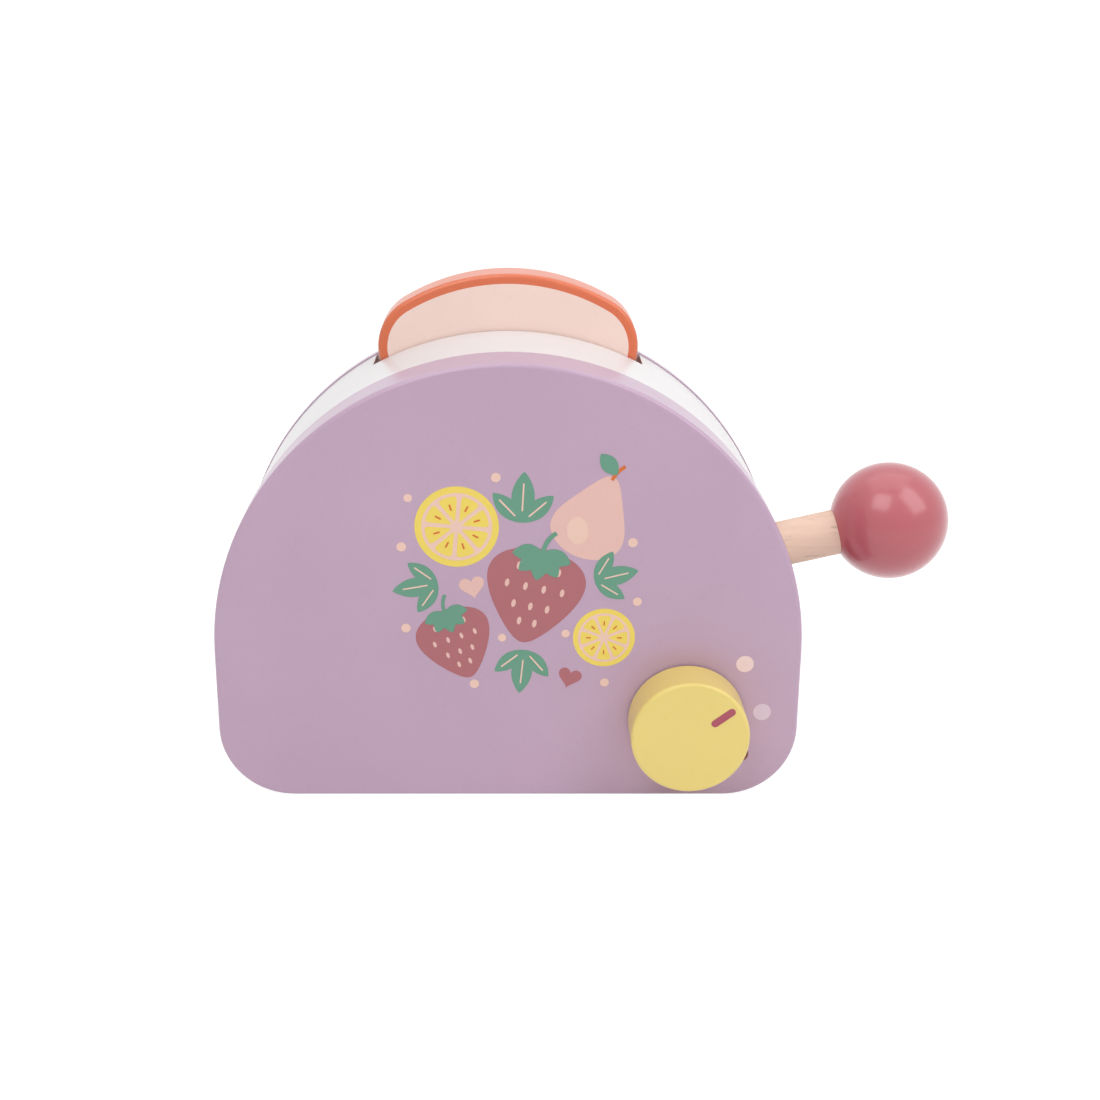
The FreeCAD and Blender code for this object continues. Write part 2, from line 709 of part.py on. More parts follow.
def make_toast():
    """A slice with a low crown whose side lobes overhang straight sides."""
    toast = make_body("toast_slice", y=slot_middle_y - toast_thickness / 2, z=toast_foot)
    outline = make_sketch(toast, "XZ_Plane")
    lobe_x = toast_half_width - toast_lobe
    lobe_z = toast_height - toast_rise
    crown = (lobe_x * lobe_x + toast_rise * toast_rise - toast_lobe * toast_lobe) \
        / ((toast_rise - toast_lobe) * 2)
    crown_z = toast_height - crown
    share = toast_lobe / (crown - toast_lobe)
    joint_x = lobe_x + lobe_x * share
    joint_z = lobe_z + (lobe_z - crown_z) * share
    reach = toast_waist - lobe_x
    neck_z = lobe_z - root(toast_lobe * toast_lobe - reach * reach)
    foot_x = toast_waist - toast_corner
    draw_path(outline, [
        (-joint_x, joint_z, 0, crown_z, crown, 1),
        (-toast_waist, neck_z, -lobe_x, lobe_z, toast_lobe, 1),
        (-toast_waist, toast_corner),
        (-foot_x, 0, -foot_x, toast_corner, toast_corner, 1),
        (foot_x, 0),
        (toast_waist, toast_corner, foot_x, toast_corner, toast_corner, 1),
        (toast_waist, neck_z),
        (joint_x, joint_z, lobe_x, lobe_z, toast_lobe, 1)])
    pad(toast, outline, toast_thickness, against_normal=True)
    round_edges(toast, "y", 0, toast_round)
    round_edges(toast, "y", toast_thickness, toast_round)
    return toast


def make_tray():
    """A shelf with a shallow recess for the slice and a hole at each end for its guide."""
    tray = make_body("toast_tray", y=slot_middle_y, z=tray_bottom)
    shelf = make_sketch(tray, "XY_Plane")
    draw_rectangle(shelf, -tray_half_length, tray_half_length, -tray_half_width, tray_half_width)
    pad(tray, shelf, tray_thickness)
    recess = make_sketch(tray, "XY_Plane", tray_thickness)
    side = toast_thickness / 2 + run_gap
    draw_rectangle(recess, -toast_waist - run_gap, toast_waist + run_gap, -side, side)
    pocket(tray, recess, tray_recess)
    holes = make_sketch(tray, "XY_Plane")
    for direction in (-1, 1):
        draw_circle(holes, guide_x * direction, 0, guide_radius + run_gap)
    pocket(tray, holes)
    return tray


def make_hanger():
    """A plate under the tray that carries the pegs above and below the lever."""
    plate = box("tray_hanger_blank", hanger_half_width * 2, hanger_thickness,
                tray_bottom - hanger_bottom, -hanger_half_width, hanger_y, hanger_bottom)
    holes = [cylinder("peg_hole", peg_radius + glue_gap, hanger_thickness, 0, hanger_y, z)
             for z in peg_heights]
    return cut("tray_hanger", plate, holes)


def make_pegs():
    start_y = lever_y - lever_radius - run_gap
    length = hanger_y + hanger_thickness - start_y
    for label, z in zip(("peg_lower", "peg_upper"), peg_heights):
        node(cylinder(label, peg_radius, length, 0, start_y, z))


def make_guides():
    """A post, a stop ring and a return spring at each end of the tray."""
    for side, direction in (("left", -1), ("right", 1)):
        x = guide_x * direction
        foot = base_top - guide_seat
        node(cylinder(f"guide_post_{side}", guide_radius, guide_top - foot,
                      x, slot_middle_y, foot, UPRIGHT))
        ring_z = tray_top + run_gap
        ring = cylinder(f"stop_blank_{side}", stop_radius, stop_height,
                        x, slot_middle_y, ring_z, UPRIGHT)
        ring_bore = cylinder("bore", guide_radius + glue_gap, stop_height,
                             x, slot_middle_y, ring_z, UPRIGHT)
        node(cut(f"guide_stop_{side}", ring, [ring_bore]))
        coil = cylinder(f"spring_blank_{side}", spring_radius, tray_bottom - base_top,
                        x, slot_middle_y, base_top, UPRIGHT)
        coil_bore = cylinder("bore", spring_radius - spring_wire, tray_bottom - base_top,
                             x, slot_middle_y, base_top, UPRIGHT)
        node(cut(f"return_spring_{side}", coil, [coil_bore]))


# Knob, its axle and the clicker behind the front panel

def make_knob():
    knob = make_body("knob", knob_x, knob_back_y - knob_depth, knob_height)
    disc = make_sketch(knob, "XZ_Plane")
    draw_circle(disc, 0, 0, knob_radius)
    pad(knob, disc, knob_depth, against_normal=True)
    round_edges(knob, "y", 0, knob_round)
    bore = make_sketch(knob, "XZ_Plane", -knob_depth)
    draw_circle(bore, 0, 0, axle_radius + glue_gap)
    pocket(knob, bore, knob_bore, along_normal=True)
    return knob


def make_ring(label, outer, start_y, thickness, gap):
    """A flat ring round the knob's axle."""
    disc = cylinder(f"{label}_blank", outer, thickness, knob_x, start_y, knob_height)
    bore = cylinder("bore", axle_radius + gap, thickness, knob_x, start_y, knob_height)
    return cut(label, disc, [bore])


def make_click_wheel():
    wheel = make_body("click_wheel", knob_x, wheel_y, knob_height)
    disc = make_sketch(wheel, "XZ_Plane")
    draw_circle(disc, 0, 0, wheel_radius)
    draw_circle(disc, 0, 0, axle_radius + glue_gap)
    pad(wheel, disc, wheel_thickness, against_normal=True)
    notch = make_sketch(wheel, "XZ_Plane")
    draw_circle(notch, -wheel_radius, 0, notch_radius)
    first = pocket(wheel, notch)
    ring = wheel.newObject("PartDesign::PolarPattern", "notches")
    ring.Originals = [first]
    ring.Axis = (notch, ["N_Axis"])
    ring.Angle = 360
    bind(ring, "Occurrences", notch_count)
    wheel.Tip = ring
    doc.recompute()
    return wheel


def make_axle():
    start_y = knob_back_y - knob_bore + glue_gap
    return cylinder("knob_axle", axle_radius, axle_end_y - start_y, knob_x, start_y, knob_height)


def make_click_reed():
    """A thin springy strip whose round nose rests in a notch of the click wheel."""
    reed = make_body("click_reed", nose_x, inner_front_y, knob_height)
    strip = make_sketch(reed, "XZ_Plane")
    draw_path(strip, [
        (-reed_thickness, reed_length), (0, reed_length),
        (0, reed_length + foot_size), (-foot_size, reed_length + foot_size),
        (-foot_size, reed_length), (-reed_thickness * 2, reed_length),
        (-reed_thickness * 2, -reed_nose), (-reed_thickness, -reed_nose),
        (-reed_thickness, reed_nose, -reed_thickness, 0, reed_nose, 1)])
    pad(reed, strip, foot_thickness, against_normal=True)
    hole = make_sketch(reed, "XZ_Plane")
    draw_circle(hole, -foot_size / 2, reed_length + foot_size / 2, screw_radius + glue_gap)
    pocket(reed, hole)
    return reed


def make_reed_screw():
    """A round-headed screw through the reed's foot into the front panel."""
    head_y = inner_front_y + foot_thickness
    shank = cylinder("shank", screw_radius, reed_screw_length + foot_thickness,
                     foot_x, inner_front_y - reed_screw_length, foot_z)
    head = cylinder("head", screw_head_radius, screw_head_depth, foot_x, head_y, foot_z)
    return fuse("reed_screw", [shank, head])


node(make_front_panel())
node(make_back_panel())
node(make_casing())
node(make_base_board())
make_tie_rods()
node(make_back_screws())
node(make_base_dowels())
node(make_lever_arm())
node(make_lever_ball())
node(make_pivot_pin())
node(make_spacer("pivot_spacer_front", inner_front_y, lever_y - lever_radius - run_gap))
node(make_spacer("pivot_spacer_back", lever_y + lever_radius + run_gap, inner_back_y))
node(make_toast())
node(make_tray())
node(make_hanger())
make_pegs()
make_guides()
node(make_knob())
node(make_ring("felt_washer", felt_radius, knob_back_y, felt_thickness, glue_gap))
node(make_axle())
node(make_click_wheel())
node(make_ring("axle_collar", collar_radius, collar_y, collar_thickness, glue_gap))
node(make_click_reed())
node(make_reed_screw())
doc.recompute()

for item in doc.Objects:
    if "Invalid" in item.State or "Error" in item.State:
        raise ValueError(f"{item.Label} failed: {item.State}")
for piece in nodes:
    if piece.Shape.isNull() or not piece.Shape.isValid():
        raise ValueError(f"{piece.Label} has no valid shape")

os.makedirs("parts", exist_ok=True)
for piece in nodes:
    piece.Shape.exportStep(os.path.join("parts", f"{piece.Label}.step"))
    solids = len(piece.Shape.Solids)
    print(f"{piece.Label}: {solids} solid(s), {piece.Shape.Volume:.0f} mm3")
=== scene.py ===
"""Looks of the toy toaster: paints, woods, the print on the front and the studio.

Lengths are in metres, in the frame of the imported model: X to the lever, Y to the back,
Z up. Sizes written in millimetres go through mm().
"""
import math
import bpy
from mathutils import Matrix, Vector


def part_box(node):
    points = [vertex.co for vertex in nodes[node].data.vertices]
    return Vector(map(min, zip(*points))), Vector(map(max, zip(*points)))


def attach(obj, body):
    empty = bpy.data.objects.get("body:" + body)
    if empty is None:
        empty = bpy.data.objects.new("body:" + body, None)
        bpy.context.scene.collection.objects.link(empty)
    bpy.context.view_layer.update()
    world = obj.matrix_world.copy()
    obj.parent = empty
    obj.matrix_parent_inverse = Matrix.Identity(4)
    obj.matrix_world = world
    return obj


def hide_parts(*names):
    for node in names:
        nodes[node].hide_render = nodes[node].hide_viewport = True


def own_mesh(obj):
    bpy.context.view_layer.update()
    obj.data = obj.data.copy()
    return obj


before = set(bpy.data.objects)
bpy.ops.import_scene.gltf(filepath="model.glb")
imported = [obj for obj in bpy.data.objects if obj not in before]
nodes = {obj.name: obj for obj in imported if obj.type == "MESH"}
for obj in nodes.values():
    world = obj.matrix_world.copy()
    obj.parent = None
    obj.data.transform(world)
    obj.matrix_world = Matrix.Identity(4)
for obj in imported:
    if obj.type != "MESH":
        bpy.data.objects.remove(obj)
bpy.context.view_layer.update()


def mm(length):
    return length / 1000.0


# Places read from the frame
FRONT_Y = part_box("front_panel")[0].y
KNOB_FACE_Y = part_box("knob")[0].y
toast_low, toast_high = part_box("toast_slice")


# Camera: the photograph's view, with the body's middle a little left of the frame's
IMAGE_SIZE = 1100.0
FOCAL_PIXELS = 1651.5
MIDDLE_PIXEL_X = 508.0
CAMERA_ELEVATION = math.radians(19.0)
CAMERA_DISTANCE = mm(549.4)
AIM_HEIGHT = mm(90.9)
SENSOR_WIDTH = 36.0
CLIP_NEAR = 0.01
CLIP_FAR = 20.0


def make_camera():
    """Place the camera in front of the body, looking down on it a little."""
    data = bpy.data.cameras.new("camera")
    camera = bpy.data.objects.new("camera", data)
    bpy.context.scene.collection.objects.link(camera)
    aim = Vector((0.0, FRONT_Y, AIM_HEIGHT))
    back = Vector((0.0, -math.cos(CAMERA_ELEVATION), math.sin(CAMERA_ELEVATION)))
    camera.location = aim + back * CAMERA_DISTANCE
    camera.rotation_euler = (-back).to_track_quat("-Z", "Y").to_euler()
    data.sensor_width = SENSOR_WIDTH
    data.lens = FOCAL_PIXELS / IMAGE_SIZE * SENSOR_WIDTH
    data.shift_x = (IMAGE_SIZE / 2 - MIDDLE_PIXEL_X) / IMAGE_SIZE
    data.clip_start = CLIP_NEAR
    data.clip_end = CLIP_FAR
    bpy.context.scene.camera = camera


make_camera()


# Node material helpers

# Places of the mix node's sockets, since several of them share one name
MIX_FACTOR = 0
MIX_FIRST = 6
MIX_SECOND = 7
MIX_RESULT = 2
MIX_FIRST_NUMBER = 2
MIX_SECOND_NUMBER = 3

WHITE = (1.0, 1.0, 1.0, 1.0)
PLAIN = (1.0, 1.0, 1.0)

# How finely each detail repeats, as scales of noise or bands over a metre
CLOUD_SCALE = 18.0
SHINE_SCALE = 60.0
WAX_SCALE = 60.0
GRAIN_SCALE = 90.0
PEEL_SCALE = 420.0
SPECK_SCALE = 900.0
BRUSH_SCALE = 900.0
EROSION_SCALE = 1300.0
FUZZ_SCALE = 1500.0
RING_SCALE = 26.0
FIBRES_PER_RING = 14.0
PORES_PER_RING = 30.0
PLY_BANDS = 110.0
PLY_FIBRE_SCALE = 240.0
PLY_GRAIN = (0.15, 1.0, 4.0)

# How deep light goes into the nylon
SKIN_DEPTH = mm(2)


def srgb(red, green, blue):
    """A screen colour from 0 to 255 as a linear one."""
    def linear(channel):
        share = channel / 255.0
        if share <= 0.04045:
            return share / 12.92
        return ((share + 0.055) / 1.055) ** 2.4
    return (linear(red), linear(green), linear(blue), 1.0)


class Material:
    """A new material with short ways to add and link its nodes."""

    def __init__(self, name):
        self.material = bpy.data.materials.new(name)
        self.material.use_nodes = True
        self.tree = self.material.node_tree
        self.shader = self.tree.nodes["Principled BSDF"]
        self.coordinates = self.add("ShaderNodeTexCoord").outputs["Object"]

    def add(self, kind, **settings):
        made = self.tree.nodes.new(kind)
        for key, value in settings.items():
            setattr(made, key, value)
        return made

    def link(self, start, end):
        self.tree.links.new(start, end)

    def scaled(self, scale, rotation=(0, 0, 0)):
        """Object coordinates, turned and stretched."""
        mapping = self.add("ShaderNodeMapping")
        mapping.inputs["Scale"].default_value = scale
        mapping.inputs["Rotation"].default_value = rotation
        self.link(self.coordinates, mapping.inputs["Vector"])
        return mapping.outputs["Vector"]

    def noise(self, vector, scale, detail=3.0, roughness=0.5, distortion=0.0):
        made = self.add("ShaderNodeTexNoise")
        made.inputs["Scale"].default_value = scale
        made.inputs["Detail"].default_value = detail
        made.inputs["Roughness"].default_value = roughness
        made.inputs["Distortion"].default_value = distortion
        self.link(vector, made.inputs["Vector"])
        return made.outputs["Fac"]

    def ramp(self, value, stops):
        """Colours or greys against a value, as (place, colour) pairs."""
        made = self.add("ShaderNodeValToRGB")
        band = made.color_ramp
        while len(band.elements) < len(stops):
            band.elements.new(0.5)
        for element, (place, colour) in zip(band.elements, stops):
            element.position = place
            element.color = colour if len(colour) == 4 else (*colour, 1.0)
        self.link(value, made.inputs["Fac"])
        return made.outputs["Color"]

    def mix(self, factor, first, second, blend="MIX"):
        """Two colours, each given as a value or a socket, blended."""
        made = self.add("ShaderNodeMix", data_type="RGBA", blend_type=blend)
        for place, value in ((MIX_FACTOR, factor), (MIX_FIRST, first), (MIX_SECOND, second)):
            socket = made.inputs[place]
            if isinstance(value, bpy.types.NodeSocket):
                self.link(value, socket)
            else:
                socket.default_value = value
        return made.outputs[MIX_RESULT]

    def math(self, operation, first, second=0.0):
        """One sum on two numbers, each given as a value or a socket."""
        made = self.add("ShaderNodeMath", operation=operation)
        for socket, value in zip(made.inputs, (first, second)):
            if isinstance(value, bpy.types.NodeSocket):
                self.link(value, socket)
            else:
                socket.default_value = value
        return made.outputs[0]

    def bump(self, heights):
        """Bump from (height, strength, distance in metres) entries, one on the other."""
        normal = None
        for height, strength, distance in heights:
            made = self.add("ShaderNodeBump")
            made.inputs["Strength"].default_value = strength
            made.inputs["Distance"].default_value = distance
            self.link(height, made.inputs["Height"])
            if normal is not None:
                self.link(normal, made.inputs["Normal"])
            normal = made.outputs["Normal"]
        self.link(normal, self.shader.inputs["Normal"])

    def finish(self, colour, roughness, coat=0.0, coat_roughness=0.1, metallic=0.0):
        """Set the shader's main sockets and return the finished material."""
        shader = self.shader
        if isinstance(colour, bpy.types.NodeSocket):
            self.link(colour, shader.inputs["Base Color"])
        else:
            shader.inputs["Base Color"].default_value = colour
        if isinstance(roughness, bpy.types.NodeSocket):
            self.link(roughness, shader.inputs["Roughness"])
        else:
            shader.inputs["Roughness"].default_value = roughness
        shader.inputs["Coat Weight"].default_value = coat
        shader.inputs["Coat Roughness"].default_value = coat_roughness
        shader.inputs["Metallic"].default_value = metallic
        return self.material


def grey(level):
    return (level, level, level, 1.0)


def toned(colour, share):
    """A linear colour made darker or lighter by a share, up to full white."""
    return tuple(min(1.0, channel * share) for channel in colour[:3]) + (1.0,)


def paint(name, colour, roughness=0.42, coat=0.15, coat_roughness=0.25, grain=PLAIN,
          grain_depth=0.25, mottle=0.05):
    """Sprayed paint on sanded wood: faint mottling and specks, orange peel, uneven shine,
    and the grain showing through, drawn out along the axis that grain shortens."""
    made = Material(name)
    cloud = made.noise(made.scaled(PLAIN), CLOUD_SCALE, detail=4.0)
    dark = toned(colour, 1.0 - mottle)
    light = toned(colour, 1.0 + mottle * 0.6)
    base = made.ramp(cloud, [(0.3, dark), (0.7, light)])
    speck = made.noise(made.scaled(PLAIN), SPECK_SCALE, detail=2.0)
    specks = made.ramp(speck, [(0.62, WHITE), (0.72, grey(1.0 - mottle))])
    base = made.mix(1.0, base, specks, blend="MULTIPLY")
    shine = made.noise(made.scaled(PLAIN), SHINE_SCALE, detail=3.0)
    rough = made.ramp(shine, [(0.25, grey(roughness - 0.05)), (0.75, grey(roughness + 0.06))])
    peel = made.noise(made.scaled(PLAIN), PEEL_SCALE, detail=2.0)
    fibre = made.noise(made.scaled(grain), GRAIN_SCALE, detail=5.0, roughness=0.6,
                       distortion=0.4)
    made.bump([(peel, 0.10, mm(0.10)), (fibre, grain_depth, mm(0.08))])
    return made.finish(base, rough, coat, coat_roughness)


def bare_wood(name, light, dark, grain, rotation=(0, 0, 0)):
    """Sanded timber: soft growth bands, long fibres and short dark flecks."""
    made = Material(name)
    turned = made.scaled(grain, rotation)
    bands = made.noise(turned, RING_SCALE, detail=5.0, roughness=0.55, distortion=1.2)
    fibres = made.noise(turned, RING_SCALE * FIBRES_PER_RING, detail=4.0, roughness=0.7)
    pores = made.noise(turned, RING_SCALE * PORES_PER_RING, detail=1.0)
    base = made.ramp(bands, [(0.30, dark), (0.52, light), (0.75, light)])
    fibre_tone = made.ramp(fibres, [(0.25, grey(0.86)), (0.7, grey(1.0))])
    base = made.mix(0.8, base, fibre_tone, blend="MULTIPLY")
    pore_tone = made.ramp(pores, [(0.64, WHITE), (0.70, grey(0.55))])
    base = made.mix(0.5, base, pore_tone, blend="MULTIPLY")
    rough = made.ramp(fibres, [(0.2, grey(0.62)), (0.8, grey(0.5))])
    made.bump([(fibres, 0.35, mm(0.12)), (pores, 0.2, mm(0.10))])
    return made.finish(base, rough)


def plywood(name, light, dark):
    """Birch ply: thin level plies, darker where the grain turns."""
    made = Material(name)
    across = made.add("ShaderNodeTexWave", wave_type="BANDS", bands_direction="Z")
    across.inputs["Scale"].default_value = PLY_BANDS
    across.inputs["Distortion"].default_value = 0.4
    made.link(made.coordinates, across.inputs["Vector"])
    plies = made.ramp(across.outputs["Fac"], [(0.45, WHITE), (0.55, grey(0.86))])
    fibres = made.noise(made.scaled(PLY_GRAIN), PLY_FIBRE_SCALE, detail=4.0, roughness=0.65)
    base = made.ramp(fibres, [(0.25, dark), (0.7, light)])
    base = made.mix(0.6, base, plies, blend="MULTIPLY")
    made.bump([(fibres, 0.3, mm(0.12))])
    return made.finish(base, 0.6)


def metal(name, colour, roughness, brush):
    """Plated or drawn steel with fine lines along the brush stretch."""
    made = Material(name)
    lines = made.noise(made.scaled(brush), BRUSH_SCALE, detail=3.0)
    base = made.ramp(lines, [(0.3, toned(colour, 0.8)), (0.7, colour)])
    rough = made.ramp(lines, [(0.3, grey(roughness + 0.08)), (0.7, grey(roughness))])
    made.bump([(lines, 0.15, mm(0.03))])
    return made.finish(base, rough, metallic=1.0)


def moulded(name, colour):
    """Moulded nylon: waxy, with a fine eroded texture."""
    made = Material(name)
    texture = made.noise(made.scaled(PLAIN), EROSION_SCALE, detail=2.0)
    cloud = made.noise(made.scaled(PLAIN), WAX_SCALE, detail=2.0)
    base = made.ramp(cloud, [(0.3, toned(colour, 0.93)), (0.7, colour)])
    made.bump([(texture, 0.15, mm(0.05))])
    made.shader.inputs["Subsurface Weight"].default_value = 0.1
    made.shader.inputs["Subsurface Radius"].default_value = (SKIN_DEPTH,) * 3
    return made.finish(base, 0.45)


def pressed_felt(name, colour):
    """Wool felt: a matted, fuzzy surface with a soft sheen."""
    made = Material(name)
    fuzz = made.noise(made.scaled(PLAIN), FUZZ_SCALE, detail=6.0, roughness=0.8)
    base = made.ramp(fuzz, [(0.3, toned(colour, 0.7)), (0.7, colour)])
    made.bump([(fuzz, 0.8, mm(0.4))])
    made.shader.inputs["Sheen Weight"].default_value = 0.4
    return made.finish(base, 0.95)


# Colours, as they look on the object
LILAC = srgb(192, 161, 186)
CASING_WHITE = srgb(231, 228, 229)
ROSE = srgb(186, 86, 97)
YELLOW = srgb(236, 212, 120)
CRUST = srgb(222, 108, 62)
CRUMB = srgb(249, 221, 210)
BEECH_LIGHT = srgb(238, 204, 184)
BEECH_DARK = srgb(226, 190, 168)
POINTER_ROSE = srgb(172, 78, 96)
PRINT_YELLOW = srgb(243, 216, 95)
PRINT_PINK = srgb(234, 190, 180)
PRINT_ROSE = srgb(176, 104, 110)
PRINT_GREEN = srgb(100, 155, 130)
PRINT_ORANGE = srgb(215, 110, 40)
PRINT_PEACH = srgb(240, 202, 186)
DOT_CREAM = srgb(242, 214, 212)
DOT_LILAC = srgb(220, 198, 216)
DOT_BROWN = srgb(128, 62, 52)
PLY_LIGHT = srgb(228, 196, 152)
PLY_DARK = srgb(196, 156, 110)
ZINC = srgb(205, 205, 210)
SPRING_STEEL = srgb(170, 170, 176)
NYLON = srgb(236, 234, 226)
FELT = srgb(196, 190, 178)

LEVER_SLOPE = math.radians(13.1)

# How each grain is stretched: the short number lies along it
FLAT_GRAIN = (0.08, 1.0, 1.0)
ALONG_DEPTH = (1.0, 0.08, 1.0)
UPRIGHT_GRAIN = (1.0, 1.0, 0.08)
PLATE_BRUSH = (1.0, 0.2, 1.0)
WIRE_BRUSH = (0.3, 1.0, 1.0)

lilac = paint("lilac_paint", LILAC, roughness=0.40, coat=0.5, coat_roughness=0.20,
              grain=FLAT_GRAIN, grain_depth=0.15, mottle=0.035)
white = paint("white_paint", CASING_WHITE, roughness=0.38, coat=0.3, coat_roughness=0.20,
              grain=ALONG_DEPTH, mottle=0.03)
rose = paint("rose_paint", ROSE, roughness=0.34, coat=0.75, coat_roughness=0.17,
             grain_depth=0.02, mottle=0.015)
yellow = paint("yellow_paint", YELLOW, roughness=0.42, coat=0.5, coat_roughness=0.22,
               grain=FLAT_GRAIN, grain_depth=0.15, mottle=0.03)
crust = paint("crust_paint", CRUST, roughness=0.42, coat=0.6, coat_roughness=0.20,
              grain=FLAT_GRAIN, mottle=0.05)
crumb = paint("crumb_paint", CRUMB, roughness=0.5, coat=0.1, grain=FLAT_GRAIN, mottle=0.04)
lever_beech = bare_wood("lever_beech", BEECH_LIGHT, BEECH_DARK, FLAT_GRAIN,
                        rotation=(0, LEVER_SLOPE, 0))
depth_beech = bare_wood("depth_beech", BEECH_LIGHT, BEECH_DARK, ALONG_DEPTH)
upright_beech = bare_wood("upright_beech", BEECH_LIGHT, BEECH_DARK, UPRIGHT_GRAIN)
ply = plywood("birch_plywood", PLY_LIGHT, PLY_DARK)
zinc = metal("zinc_plate", ZINC, 0.32, PLATE_BRUSH)
wire = metal("spring_wire", SPRING_STEEL, 0.30, WIRE_BRUSH)
nylon = moulded("white_nylon", NYLON)
felt = pressed_felt("pressed_felt", FELT)

NODE_MATERIALS = {
    "front_panel": lilac, "back_panel": lilac, "casing": white, "base_board": ply,
    "tie_rod_left": depth_beech, "tie_rod_right": depth_beech, "back_screws": zinc,
    "base_dowels": depth_beech, "lever_arm": lever_beech, "lever_ball": rose,
    "pivot_pin": depth_beech, "pivot_spacer_front": nylon, "pivot_spacer_back": nylon,
    "toast_slice": crust, "toast_tray": ply, "tray_hanger": ply, "peg_lower": depth_beech,
    "peg_upper": depth_beech, "guide_post_left": upright_beech,
    "guide_post_right": upright_beech, "guide_stop_left": nylon, "guide_stop_right": nylon,
    "return_spring_left": wire, "return_spring_right": wire, "knob": yellow,
    "felt_washer": felt, "knob_axle": depth_beech, "click_wheel": nylon,
    "axle_collar": nylon, "click_reed": nylon, "reed_screw": zinc}


def dress_nodes():
    """Give every solid its finished material."""
    for name, material in NODE_MATERIALS.items():
        if not nodes[name].material_slots:
            nodes[name].data.materials.append(material)
        for slot in nodes[name].material_slots:
            slot.material = material


dress_nodes()


# Flat printed shapes, as thin layers of ink on a face

INK_SINK = mm(0.02)
INK_LEVEL = mm(0.05)
INK_HAIR = mm(0.004)
HAIR_STEPS = 9


def add_mesh(name, vertices, faces, material, body):
    """A new piece that rides on a body and takes the given material."""
    mesh = bpy.data.meshes.new(name)
    mesh.from_pydata(vertices, [], faces)
    mesh.validate()
    mesh.update()
    mesh.materials.append(material)
    piece = bpy.data.objects.new(name, mesh)
    bpy.context.scene.collection.objects.link(piece)
    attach(piece, body)
    return piece


def ink_solid(outline, face_y, thickness):
    """Vertices and faces of a flat layer standing out of a face towards the front."""
    count = len(outline)
    vertices = [(x, face_y - thickness, z) for x, z in outline]
    vertices += [(x, face_y + INK_SINK, z) for x, z in outline]
    faces = [tuple(range(count)), tuple(range(2 * count - 1, count - 1, -1))]
    for step in range(count):
        following = (step + 1) % count
        faces.append((step, count + step, count + following, following))
    return vertices, faces


def anticlockwise(outline):
    """The outline turned so that its front face looks towards the viewer."""
    area = sum(x0 * z1 - x1 * z0 for (x0, z0), (x1, z1)
               in zip(outline, outline[1:] + outline[:1]))
    return outline if area > 0 else outline[::-1]


def print_layer(name, outlines, material, level, body="housing",
                face_y=FRONT_Y):
    """One colour of the print. Each level lies on the one below it, and neighbours of one
    level differ by a hair, so that no two faces lie in one plane."""
    vertices, faces = [], []
    for number, outline in enumerate(outlines):
        thickness = INK_LEVEL * level + INK_HAIR * (number % HAIR_STEPS)
        start = len(vertices)
        corners, sides = ink_solid(anticlockwise(outline), face_y, thickness)
        vertices += corners
        faces += [tuple(start + corner for corner in side) for side in sides]
    return add_mesh(name, vertices, faces, material, body)


def polar(radius, angle):
    return (radius * math.cos(angle), radius * math.sin(angle))


def ellipse(x, z, half_width, half_height, lean=0.0, count=48):
    """A closed ellipse about x, z, leaned over by an angle."""
    points = []
    for step in range(count):
        angle = 2 * math.pi * step / count
        across = half_width * math.cos(angle)
        along = half_height * math.sin(angle)
        points.append((x + across * math.cos(lean) - along * math.sin(lean),
                       z + across * math.sin(lean) + along * math.cos(lean)))
    return points


def moved(outline, x, z, lean=0.0, scale=1.0):
    """A shape drawn about the origin, scaled, leaned over and moved."""
    cosine, sine = math.cos(lean), math.sin(lean)
    return [(x + scale * (px * cosine - pz * sine), z + scale * (px * sine + pz * cosine))
            for px, pz in outline]


def capsule(x0, z0, x1, z1, radius, count=12):
    """A straight stroke with round ends."""
    slope = math.atan2(z1 - z0, x1 - x0)
    points = []
    for centre_x, centre_z, start in ((x1, z1, -math.pi / 2), (x0, z0, math.pi / 2)):
        for step in range(count + 1):
            angle = slope + start + math.pi * step / count
            points.append((centre_x + radius * math.cos(angle),
                           centre_z + radius * math.sin(angle)))
    return points


def stroke(points, half_width):
    """A curved stroke along points, equally wide all the way."""
    left, right = [], []
    for number, (x, z) in enumerate(points):
        before = points[max(0, number - 1)]
        after = points[min(len(points) - 1, number + 1)]
        length = math.hypot(after[0] - before[0], after[1] - before[1])
        normal_x = -(after[1] - before[1]) / length
        normal_z = (after[0] - before[0]) / length
        left.append((x + normal_x * half_width, z + normal_z * half_width))
        right.append((x - normal_x * half_width, z - normal_z * half_width))
    return left + right[::-1]


CURVE_STEPS = 16


def curve_points(start, bend, end):
    """Points on a quadratic curve."""
    points = []
    for step in range(CURVE_STEPS + 1):
        share = step / CURVE_STEPS
        points.append(tuple((1 - share) ** 2 * start[axis] + 2 * share * (1 - share) * bend[axis]
                            + share ** 2 * end[axis] for axis in (0, 1)))
    return points


def strawberry_outline(count=64):
    """A plump body, broad at the top and drawn to a blunt tip, one unit tall."""
    points = []
    for step in range(count):
        angle = 2 * math.pi * step / count
        height = math.sin(angle)
        width = 0.47 * (1.0 + 0.34 * height - 0.10 * height * height)
        points.append((width * math.cos(angle), 0.5 * height + 0.03 * math.cos(2 * angle)))
    return points


def pear_outline(count=72):
    """A round base under a narrower neck, one unit tall."""
    points = []
    for step in range(count):
        angle = 2 * math.pi * step / count
        height = math.sin(angle)
        width = 0.37 * (1.0 - 0.36 * height - 0.12 * math.sin(2.4 * height))
        points.append((width * math.cos(angle), 0.5 * height))
    return points


